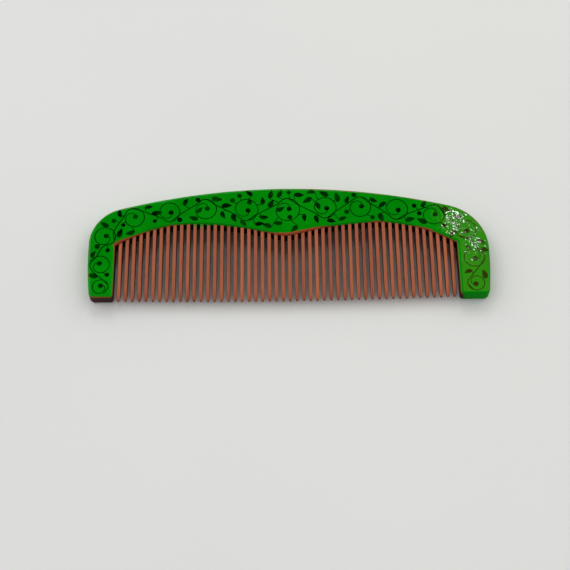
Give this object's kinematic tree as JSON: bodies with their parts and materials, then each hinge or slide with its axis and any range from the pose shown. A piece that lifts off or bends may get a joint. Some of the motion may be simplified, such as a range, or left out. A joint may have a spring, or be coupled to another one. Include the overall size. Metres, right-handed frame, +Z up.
{
  "type": "hair comb",
  "caption": "Flat wooden dressing comb with an arched lacquered spine, broad end guards and a full row of fine set-in teeth under a double-arched root line.",
  "frame": {"origin": "Centre of the bounding box in X and Y, on the plane z = 0 that the comb's flat back rests on.", "axes": "+X along the comb, +Y from the tooth tips to the spine, +Z up through the thickness, out of the front face."},
  "size_m": [0.16, 0.0494, 0.006],
  "materials": {
    "lacquered_wood": null,
    "bare_wood": "bare reddish-brown wood, satin, sanded"
  },
  "bodies": {
    "root": {"spine": "lacquered_wood", "left_guard": "lacquered_wood", "right_guard": "lacquered_wood", "tooth_01": "bare_wood", "tooth_02": "bare_wood", "tooth_03": "bare_wood", "tooth_04": "bare_wood", "tooth_05": "bare_wood", "tooth_06": "bare_wood", "tooth_07": "bare_wood", "tooth_08": "bare_wood", "tooth_09": "bare_wood", "tooth_10": "bare_wood", "tooth_11": "bare_wood", "tooth_12": "bare_wood", "tooth_13": "bare_wood", "tooth_14": "bare_wood", "tooth_15": "bare_wood", "tooth_16": "bare_wood", "tooth_17": "bare_wood", "tooth_18": "bare_wood", "tooth_19": "bare_wood", "tooth_20": "bare_wood", "tooth_21": "bare_wood", "tooth_22": "bare_wood", "tooth_23": "bare_wood", "tooth_24": "bare_wood", "tooth_25": "bare_wood", "tooth_26": "bare_wood", "tooth_27": "bare_wood", "tooth_28": "bare_wood", "tooth_29": "bare_wood", "tooth_30": "bare_wood", "tooth_31": "bare_wood", "tooth_32": "bare_wood", "tooth_33": "bare_wood", "tooth_34": "bare_wood", "tooth_35": "bare_wood", "tooth_36": "bare_wood", "tooth_37": "bare_wood", "tooth_38": "bare_wood", "tooth_39": "bare_wood", "tooth_40": "bare_wood", "tooth_41": "bare_wood", "tooth_42": "bare_wood", "tooth_43": "bare_wood", "tooth_44": "bare_wood", "tooth_45": "bare_wood", "tooth_46": "bare_wood", "tooth_47": "bare_wood", "tooth_48": "bare_wood", "tooth_49": "bare_wood", "tooth_50": "bare_wood"}
  },
  "joints": []
}
